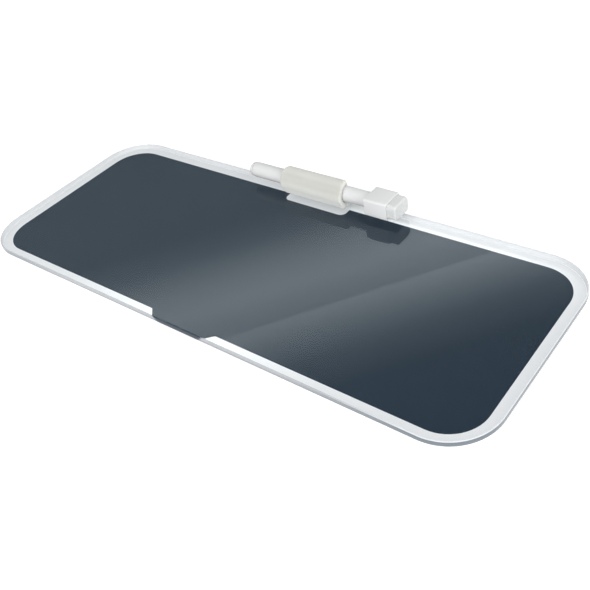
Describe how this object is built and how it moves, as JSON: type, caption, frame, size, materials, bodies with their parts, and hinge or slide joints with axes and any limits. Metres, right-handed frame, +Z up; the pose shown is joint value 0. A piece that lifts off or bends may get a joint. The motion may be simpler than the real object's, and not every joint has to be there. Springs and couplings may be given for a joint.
{
  "type": "desktop whiteboard",
  "caption": "Low glass writing board for a desk, with rounded corners, a dark writing panel, a white border, and a slim marker with an eraser cap in a soft loop.",
  "frame": {"origin": "centre of the board's outline, on the plane that the feet stand on", "axes": "+X along the board towards the marker's capped end, +Y to the rear edge that carries the marker, +Z up"},
  "size_m": [0.38, 0.1502, 0.0235],
  "materials": {
    "clear_glass": "polished clear glass with eased, polished edges",
    "dark_print": "dark slate blue-grey colour coat on the back of the glass",
    "white_print": "white colour coat on the back of the glass",
    "backing_film": "fine-grained protective sheet",
    "foot_silicone": "translucent grey silicone, satin",
    "clear_adhesive": "clear acrylic foam adhesive",
    "loop_silicone": "soft matte off-white silicone",
    "marker_plastic": "smooth satin white plastic",
    "plug_plastic": "smooth satin white plastic",
    "ink_fibre": "ink-soaked fibre rod",
    "clear_film": "thin clear wrap",
    "section_plastic": "smooth white plastic",
    "nib_fibre": "ink-stained pressed fibre",
    "cap_plastic": "satin white plastic",
    "liner_plastic": "soft natural plastic",
    "eraser_felt": "dense off-white felt"
  },
  "bodies": {
    "board": {"glass_sheet": "clear_glass", "panel_print": "dark_print", "border_print": "white_print", "backing_sheet": "backing_film", "foot_front_left": "foot_silicone", "foot_front_middle": "foot_silicone", "foot_front_right": "foot_silicone", "foot_rear_left": "foot_silicone", "foot_rear_middle": "foot_silicone", "foot_rear_right": "foot_silicone", "holder_tape": "clear_adhesive", "pen_holder": "loop_silicone"},
    "marker": {"pen_barrel": "marker_plastic", "tail_plug": "plug_plastic", "reservoir_core": "ink_fibre", "reservoir_sleeve": "clear_film", "nib_section": "section_plastic", "nib": "nib_fibre"},
    "cap": {"cap_block": "cap_plastic", "cap_liner": "liner_plastic", "eraser_tape": "clear_adhesive", "eraser_felt": "eraser_felt"}
  },
  "joints": [
    {"name": "marker_slide", "type": "slide", "parent": "board", "child": "marker", "axis": [1, 0, 0], "range_m": [-0.0178, 0.085]},
    {"name": "cap_pull", "type": "slide", "parent": "marker", "child": "cap", "axis": [1, 0, 0], "range_m": [0, 0.02]}
  ]
}
